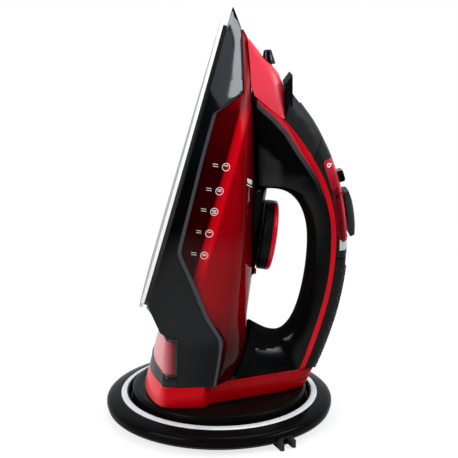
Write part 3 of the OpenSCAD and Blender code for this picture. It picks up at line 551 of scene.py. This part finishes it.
def tank_marks(paint):
    """Plain marks beside the band of light: rings with short lines in and beside them, and bars."""
    x, z = paint.x / MM, paint.z / MM
    marks = 0
    for count, (at_x, at_z) in enumerate(mark_places):
        ring = abs(((x - at_x) ** 2 + (z - at_z) ** 2) ** 0.5 - 2.5)
        marks = marks + (1 - ring.step(0.1, 0.34))
        for line in range(1 + count % 3):
            dash = abs(z - at_z - 0.9 + line * 0.95 + (x - at_x) * 0.15).step(0.16, 0.34)
            marks = marks + (1 - dash) * (1 - abs(x - at_x).step(1.2, 1.45))
        for line in range(2):
            beside = abs(z - at_z - 0.9 + line * 1.5 + (x - at_x) * 0.2).step(0.12, 0.32)
            marks = marks + (1 - beside) * (1 - abs(x - at_x + 7.2).step(1.7, 2.0)) * 0.75
    lean = (z - bar_z) + (x - bar_x) * 0.9
    bar = (1 - abs(lean - 2.6).step(1.5, 1.75)) * (1 - abs(x - bar_x + 0.4).step(1.9, 2.1))
    rule = (1 - abs(lean + 0.6).step(0.3, 0.5)) * (1 - abs(x - bar_x + 0.2).step(2.4, 2.6))
    return (marks + bar * 0.9 + rule).step(0.05, 0.9)


def tank_painted_light():
    """Painted light and shade in the red: a painted band of light runs up the tank, the ridge, the
    far corner and the right facet are painted darker as shade, the front is painted lighter towards
    the top, and the whole is darker towards the bottom.
    """
    band_x, band_z, band_slope = -13.6, 119, 0.2845
    paint = Finish("tank red")
    up = paint.z / MM
    across = paint.x / MM - band_x - (up - band_z) * band_slope
    cloud = paint.noise(26, 3)
    # Painted light: the front of the tank is painted lighter towards the top.
    front = 0.025 + up.step(185, 230) * 0.045 + up.step(227, 240) * 0.2
    # Painted shade: the ridge and the far corner are painted darker, and the side past the band
    # darker to the right.
    ridge = (paint.x / MM).step(12.5, 17) * 0.35 * up.step(100, 130) * (1 - up.step(190, 215))
    corner = (paint.x / MM).step(16, 24) * 0.75 * up.step(110, 150)
    behind = (0.31 - across.step(6, 30) * 0.1) * (1 - ridge) * (1 - corner)
    # Painted light: the band of light is painted into the colour.
    band = across.step(-4.2, -1.6) * (1 - across.step(2.2, 5.5))
    past = across.step(-3, 4)
    red = front * (1 - past) + behind * past
    red = red + band * 0.42 * up.step(104, 132) * (1 - up.step(222, 236))
    # Darker towards the bottom.
    red = red * (0.12 + up.step(52, 99) * 0.88) * (0.92 + cloud * 0.16)
    colour = paint.node("ShaderNodeCombineColor", {},
                        {"Red": red, "Green": red * 0.002, "Blue": red * 0.012 + 0.0003})
    print_on = (1 - (paint.y / MM).step(-5, -4)) * tank_marks(paint)
    colour = paint.mix(print_on, colour, (0.82, 0.8, 0.8))
    dull = (paint.x / MM).step(13, 17) * up.step(205, 225) * 0.3
    return paint.surface(
        base_color=colour,
        roughness=0.05 + paint.noise(300, 2) * 0.03 + dull,
        transmission_weight=0.12, ior=1.46, specular_ior_level=0.13,
        normal=paint.bump(paint.noise(60, 2), 0.00006, 0.2))


tank_red = tank_painted_light()
tank = shell("water_tank", tank_red, 1, 24)
# Painted shade: the back of the tank under the handle is a dark, dull red that stands in for the
# shade there.
tank_back = matt_moulding("tank back", (0.03, 0.0005, 0.002), 0.8, 900, 0.00002, 0)
tank.data.materials.append(tank_back)
back_x = 23 * MM
for face in tank.data.polygons:
    if face.normal.x > 0.96 and face.center.x > back_x:
        face.material_index = 1


# ---------------------------------------------------------------- heel
# Black back shell with a clear red insert in a moulded black frame. A red
# band goes round its foot, which holds the charging contacts.

heel_black = matt_moulding("heel black", (0.0045, 0.0048, 0.0055), 0.3, 1500, 0.00002, 0.28)
shell("heel_back", heel_black, 1, 24)
insert = Finish("insert red")
# Painted light: the insert is painted pale pink on its left, where the key light falls, fading to
# deep red on the right.
side = (insert.x / MM).step(-43.5, -31)
frost = insert.noise(40, 3)
insert_red = insert.surface(
    base_color=insert.mix(side, (0.85, 0.26, 0.28), (0.17, 0.002, 0.008)),
    roughness=0.14 + frost * 0.1, transmission_weight=0.2, ior=1.46, specular_ior_level=0.22,
    normal=insert.bump(frost, 0.00004, 0.3))
window = shell("heel_window", insert_red, 1, 24)


def rim_bead(shell_piece, name, thick, sharp, keep):
    """A moulded bead along the sharp rim of a shell, on the edges that keep() picks."""
    bead = free_copy(shell_piece, name)
    in_edit(bead)
    bpy.ops.mesh.edges_select_sharp(sharpness=radians(sharp))
    mesh = bmesh.from_edit_mesh(bead.data)
    for edge in mesh.edges:
        if edge.select and not keep(edge):
            edge.select_set(False)
    loose = [edge for edge in mesh.edges if not edge.select]
    bmesh.ops.delete(mesh, geom=loose, context="EDGES")
    bmesh.update_edit_mesh(bead.data)
    out_of_edit()
    bead.data.materials.clear()
    only(bead)
    bpy.ops.object.convert(target="CURVE")
    bead.data.bevel_depth = thick
    bead.data.bevel_resolution = 3
    bead.data.use_fill_caps = True
    bpy.ops.object.convert(target="MESH")
    smooth(bead, 60)
    return bead


def outer_rim(edge):
    """True where a rim edge borders a face that looks away from the swivel's axis."""
    return any(face.normal.xy.dot(face.calc_center_median().xy) > 12 * MM
               for face in edge.link_faces)


frame_bead = rim_bead(window, "insert_frame", 1.1 * MM, 50, outer_rim)
frame_black = matt_moulding("frame black", (0.012, 0.0125, 0.0135), 0.3, 1500, 0.00002, 0.45)
hand_in(frame_bead, "iron", frame_black)

band = Finish("band red")
# Painted light: the far-left corner of the band is painted pale.
corner = 1 - (band.x / MM).step(-46, -37)
# Painted shade: the band is painted darker towards the back, where it recedes.
depth = (band.x / MM).step(-13, -8)
flow = band.noise(38, 4).step(0.35, 0.68)
moulded = band.mix(flow, (0.52, 0.0008, 0.006), (0.46, 0.0006, 0.005))
shade = band.mix(depth, moulded, (0.32, 0.0005, 0.003))
band_red = band.surface(
    base_color=band.mix(corner * 0.6, shade, (0.9, 0.1, 0.12)),
    roughness=0.2 + band.noise(420, 2) * 0.05, specular_ior_level=0.09,
    normal=band.bump(band.noise(160, 2), 0.00004, 0.25))
shell("heel_band", band_red, 1, 24)


# ---------------------------------------------------------------- upper cover
# Red cap over the nose, with the spray nozzle, the filler neck and the fin
# that frames the filler door.

cover_red = gloss("cover red", (0.75, 0.045, 0.075), 0.3, 0.3, (0.7, 0.03, 0.055))
shell("upper_cover", cover_red, 1, 24)
nozzle_black = gloss("nozzle black", (0.003, 0.003, 0.0034), 0.18, 0.25)
fin_black = matt_moulding("fin black", (0.0016, 0.0016, 0.0018), 0.6, 1500, 0.00003, 0.04)
dress(nozzle_black, "spray_nozzle")
dress(fin_black, "filler_collar", "filler_door")
dress(matt_moulding("hose", (0.6, 0.6, 0.57), 0.4, 900, 0.00002), "spray_tube")
dress(steel, "filler_door_pin", "spray_spring", "steam_spring", "dial_shaft")


# ---------------------------------------------------------------- handle
# Polished inner moulding, soft matt covers on the back and a red stripe let in
# between. The grip pad is rubber, moulded with rows of low pimples.

# The line of the stripe up the side of the handle, as x and z in mm.
stripe_line = [
    (22, 243), (34, 231), (41.5, 224.5), (50.5, 214.2), (58.7, 200), (65.6, 189), (71.5, 178.5),
    (76.2, 164.5), (79.7, 149.4), (80.6, 132), (79.6, 109.6), (75.2, 87), (70, 68.5), (64.4, 51),
    (59, 36.2)]


def mark_along(piece, line):
    """Writes how far each point lies from a side line of (x, z) in mm, and how far along it."""
    lengths = [0]
    for (x0, z0), (x1, z1) in zip(line, line[1:]):
        lengths.append(lengths[-1] + sqrt((x1 - x0) ** 2 + (z1 - z0) ** 2))
    away = piece.data.attributes.new("away", "FLOAT", "POINT").data
    run = piece.data.attributes.new("run", "FLOAT", "POINT").data
    for vertex in piece.data.vertices:
        x, z = vertex.co.x / MM, vertex.co.z / MM
        best = (1e9, 0)
        for (x0, z0), (x1, z1), start, end in zip(line, line[1:], lengths, lengths[1:]):
            part = ((x - x0) * (x1 - x0) + (z - z0) * (z1 - z0)) / (end - start) ** 2
            part = min(1, max(0, part))
            gap = sqrt((x - x0 - part * (x1 - x0)) ** 2 + (z - z0 - part * (z1 - z0)) ** 2)
            best = min(best, (gap, start + part * (end - start)))
        away[vertex.index].value, run[vertex.index].value = best


def handle_finish():
    """Polish with a grey haze painted as a reflection in the corner by the cover, and a pale band
    painted as a reflection along the bevel by the red stripe.
    """
    paint = Finish("handle black")
    away, run = (paint.node("ShaderNodeAttribute", {"attribute_name": name}, {}, "Fac")
                 for name in ("away", "run"))
    wipe = paint.noise(420, 2, stretch=(1, 1, 0.25))
    width = (1 - run.step(25, 115)) * 2.9 - 0.1
    stripe = 1 - (away - width).step(-0.15, 0.15)
    # Painted reflection: a pale band along the bevel beside the stripe.
    bevel = (1 - (away - width).step(2.4, 3.7)) * (1 - run.step(50, 105)) * (0.75 + wipe * 0.4)
    # Painted reflection: a grey haze with a wavy edge in the corner by the cover.
    below = (paint.z / MM - 210) + (paint.x / MM - 25) * 1.05 + paint.noise(55, 3) * 12
    corner = (paint.z / MM).step(165, 178) * (1 - (paint.x / MM).step(40, 47))
    painted_haze = (1 - below.step(2, 8)) * corner
    cloud = paint.noise(38, 4).step(0.35, 0.68)
    black = paint.mix(cloud, (0.0018, 0.0018, 0.0021), (0.0013, 0.0013, 0.0016))
    grey = paint.mix(painted_haze, black, (0.021, 0.0205, 0.02))
    grey = paint.mix(bevel, grey, (0.05, 0.052, 0.054))
    foot = 1 - (paint.z / MM).step(50, 64)
    return paint.surface(
        base_color=paint.mix(stripe, grey, (0.6, 0.004, 0.018)), specular_ior_level=0.17,
        roughness=0.1 + wipe * 0.05 + bevel * 0.22 + stripe * 0.1 + foot * 0.12,
        normal=paint.bump(paint.noise(160, 2), 0.00003, 0.2))


def slab(name, low, high, width, lean=0, place=(0, 0, 0)):
    """A rounded block between two corners in mm, then leant back by degrees and set at a place."""
    bpy.ops.object.select_all(action="DESELECT")
    bpy.ops.mesh.primitive_cube_add(size=1, location=[(a + b) / 2 * MM for a, b in zip(low, high)],
                                    scale=[(b - a) * MM for a, b in zip(low, high)])
    piece = bpy.context.object
    piece.name = name
    at_origin(piece)
    round_edges(piece, width, 3)
    leant = Matrix.Rotation(radians(-lean), 4, "Y")
    piece.data.transform(Matrix.Translation(Vector(place) * MM) @ leant)
    smooth(piece, 40)
    return piece


handle_black = handle_finish()
seat_black = matt_moulding("seat black", (0.003, 0.003, 0.003), 0.85, 1500, 0.00002, 0.0)
arch_black = matt_moulding("arch black", (0.0022, 0.0021, 0.002), 0.75, 1500, 0.00002, 0.01)
handle = shell("handle_shell", handle_black, 2, 30)
handle.data.materials.append(seat_black)
handle.data.materials.append(arch_black)

# Dull where the handle sits against the tank, and round the inside of the grip.
grip_opening = Vector((50, 0, 122)) * MM
seat_x, seat_wall_x, arch_foot = 26.8 * MM, 31 * MM, 53 * MM
for face in handle.data.polygons:
    place = face.center
    inward = (grip_opening - Vector((place.x, 0, place.z))).normalized()
    if place.x < seat_x or face.normal.x < -0.8 and place.x < seat_wall_x:
        face.material_index = 1
    elif abs(face.normal.y) < 0.75 and face.normal.dot(inward) > 0.4 and place.z > arch_foot:
        face.material_index = 2
mark_along(handle, stripe_line)
stripe_red = gloss("stripe red", (0.58, 0.0015, 0.01), 0.25, 0.16)
shell("trim_stripes", stripe_red, 1, 30)
soft_black = matt_moulding("soft black", (0.0125, 0.012, 0.0115), 0.45, 2200, 0.00004, 0.14)
seal = slab("tank_seal", (24.1, -11.5, 169), (27.2, 11.5, 243), 0.6 * MM)
hand_in(seal, "iron", seat_black)

button_place, button_lean = (92, 0, 152), 9
slider_place, slider_lean = (84.6, 0, 182.6), 18


def out_and_run(paint, place, lean):
    """How far a point stands out of a leaning control, and how far up along it, in mm."""
    x, z = paint.x / MM - place[0], paint.z / MM - place[2]
    level, rise = cos(radians(lean)), sin(radians(lean))
    return x * level + z * rise, z * level - x * rise


def button_scoop(paint):
    """Distance from the middle of the scoop round the buttons: 1 at its bright rim."""
    out, run = out_and_run(paint, button_place, button_lean)
    return abs((run - 1.5) / 20.5) ** 4 + abs((out + 0.5) / 8.6) ** 4


def scoop_red(paint):
    """Painted shade deep red in the hollow, and a painted highlight bright where its wall turns out
    to the button.
    """
    out, _ = out_and_run(paint, button_place, button_lean)
    cloud = paint.noise(60, 3).step(0.3, 0.7)
    hollow = paint.mix(cloud, (0.16, 0.001, 0.004), (0.1, 0.0006, 0.003))
    return paint.mix(out.step(-3.5, -3.0), hollow, (0.5, 0.002, 0.012))


def panel_finish():
    """Satin black, with the red wells of the slider and the buttons and the milky lens band."""
    paint = Finish("panel black")
    grains = paint.noise(2200, 2, 0.6)
    cloud = paint.noise(30, 3)
    black = paint.mix(grains.step(0.4, 0.7), (0.0075, 0.0072, 0.007), (0.012, 0.0115, 0.011))
    out, run = out_and_run(paint, slider_place, slider_lean)
    well = abs((run - 0.5) / 11.6) ** 8 + abs((out + 1) / 6.8) ** 8
    in_well = 1 - well.step(0.92, 1.05)
    well_red = paint.mix(run.step(-6, 9), (0.3, 0.004, 0.012), (0.48, 0.012, 0.03))
    ring = abs((((run - 8) ** 2 + (out + 4.4) ** 2) ** 0.5) - 1.2).step(0.25, 0.5)
    tick = 1 - (1 - abs(run - 8).step(0.2, 0.45)) * (1 - abs(out + 3).step(0.9, 1.3))
    well_red = paint.mix(ring * tick, (0.8, 0.78, 0.76), well_red)
    scoop = button_scoop(paint)
    in_scoop = 1 - scoop.step(0.95, 1.06)
    lens = (1 - abs(paint.z / MM - 130.6).step(3.7, 4.1)) * (paint.x / MM).step(86.6, 87)
    colour = paint.mix(in_well, black, well_red)
    # The scoop's colour is painted shade in the hollow and a painted highlight at its rim.
    colour = paint.mix(in_scoop, colour, scoop_red(paint))
    colour = paint.mix(lens, colour, (0.5, 0.5, 0.48))
    gloss_here = in_well * 0.5 + in_scoop * 0.5 + lens * 0.5
    return paint.surface(base_color=colour, roughness=0.45 + cloud * 0.1 - gloss_here * 0.4,
                         specular_ior_level=0.16, normal=paint.bump(grains, 0.00003, 0.4))


shell("grip_cover", soft_black, 0, 30)
shell("control_panel", panel_finish(), 1, 30)
grip_rubber = matt_moulding("grip rubber", (0.0055, 0.0055, 0.0055), 0.62, 2600, 0.00009, 0.12)
pad = shell("grip_pad", grip_rubber, 1, 30)


def pimples(on, low_z, high_z, pitch, half_y):
    """Low rubber pimples in staggered rows on the back of the pad, each a squat six-sided cone."""
    row_step = pitch * 0.866
    from_behind = Vector((-1, 0, -0.12)).normalized()
    lifted = Matrix.Translation((0, 0, 0.3 * MM))
    mesh = bpy.data.meshes.new("grip_dots")
    build = bmesh.new()
    for row in range(int((high_z - low_z) / row_step)):
        z = low_z + row * row_step
        reach = half_y * (0.93 + 0.07 * cos(row * pi / 2))
        columns = int(reach / pitch)
        for column in range(-columns, columns + 1):
            y = (column + 0.5 * (row % 2)) * pitch
            hit, place, normal, _ = on.ray_cast(Vector((200, y, z)) * MM, from_behind)
            if hit:
                turn = normal.to_track_quat("Z", "Y").to_matrix().to_4x4()
                bmesh.ops.create_cone(
                    build, cap_ends=True, segments=6, radius1=1.15 * MM, radius2=0.6 * MM,
                    depth=1.5 * MM, matrix=Matrix.Translation(place) @ turn @ lifted)
    build.to_mesh(mesh)
    build.free()
    dots = bpy.data.objects.new("grip_dots", mesh)
    scene.collection.objects.link(dots)
    return dots


dots = pimples(pad, 52, 129, 3, 16)
smooth(dots, 25)
dot_rubber = matt_moulding("dot rubber", (0.02, 0.02, 0.02), 0.4, 2600, 0.00003, 0.3)
hand_in(dots, "iron", dot_rubber)


# ---------------------------------------------------------------- controls
# Slider, two push buttons on their red bed, and the pilot lens over its small
# board, all carried by the back of the handle. A lip closes the bed's top edge.

# The bed's red is painted shade in the hollow and a painted highlight at its rim.
bed = Finish("scoop red")
bed_red = bed.surface(
    base_color=scoop_red(bed), roughness=0.2 + bed.noise(300, 2) * 0.08,
    specular_ior_level=0.25, normal=bed.bump(bed.noise(160, 2), 0.00003, 0.2))
dress(bed_red, "button_bed")
bed_lip = slab("bed_lip", (-6.4, -15.4, 16.5), (-1.2, 15.4, 18.6), 0.5 * MM,
               button_lean, button_place)
hand_in(bed_lip, "iron", bed_red)
bright_red = gloss("bright red", (0.55, 0.0012, 0.009), 0.22, 0.2, (0.5, 0.001, 0.007))
dress(bright_red, "slider_plate")
dress(soft_black, "spray_button", "steam_button")
dress(nozzle_black, "steam_slider")
milky = matt_moulding("milky lens", (0.8, 0.8, 0.77), 0.25, 900, 0.00001, 0.5)
dress(milky, "indicator_lens")
dress(matt_moulding("board green", (0.02, 0.11, 0.04), 0.4, 700, 0.00002), "indicator_board")


# ---------------------------------------------------------------- dial
# Round thermostat knob on the tank's black deck: a black body and a red cap
# with a milky spot, leaning back with its shaft.

# The deck is dull on top and where it sits on the tank.
deck = shell("dial_deck", nozzle_black, 1, 24)
deck.data.materials.append(seat_black)
deck_seat_x = 27.2 * MM
for face in deck.data.polygons:
    if face.normal.x < -0.3 or face.center.x < deck_seat_x or face.normal.z > 0.8:
        face.material_index = 1
dial_black = matt_moulding("dial black", (0.003, 0.003, 0.0032), 0.4, 1500, 0.00002, 0.12)
dress(dial_black, "dial_body")
dress(bright_red, "dial_pointer")

# The cap and its spot are turned upright, then leant back and set on the dial's shaft.
dial_lean = radians(8)
dial_axis = Vector((cos(dial_lean), 0, -sin(dial_lean)))
dial_seat = (Matrix.Translation(Vector((30, 0, 135.5)) * MM)
             @ dial_axis.to_track_quat("Z", "Y").to_matrix().to_4x4())
dial_red = gloss("dial red", (0.6, 0.001, 0.012), 0.2, 0.2, (0.55, 0.001, 0.01))
cap = turned("dial_cap", [
    (0.4, 7.5), (24.4, 7.5), (24.9, 7.0), (25.5, 7.1), (25.65, 7.6), (25.6, 8.7), (25.1, 9.5),
    (24.1, 10.1), (22.3, 10.6), (19.5, 11.05), (15, 11.4), (9, 11.62), (0.4, 11.7)], around=150)
cap.data.transform(dial_seat)
smooth(cap, 40)
hand_in(cap, "dial", dial_red, "dial_cap")

spot_tilt = Matrix.Rotation(radians(25), 4, "Y")
spot = turned("dial_spot", [
    (0.05, 0.25), (1.0, 0.22), (1.35, 0.05), (1.35, -0.3), (0.05, -0.3)], around=32)
spot.data.transform(
    dial_seat @ Matrix.Translation(Vector((22.9, 0, 10.42)) * MM) @ spot_tilt)
smooth(spot, 40)
hand_in(spot, "dial", milky)
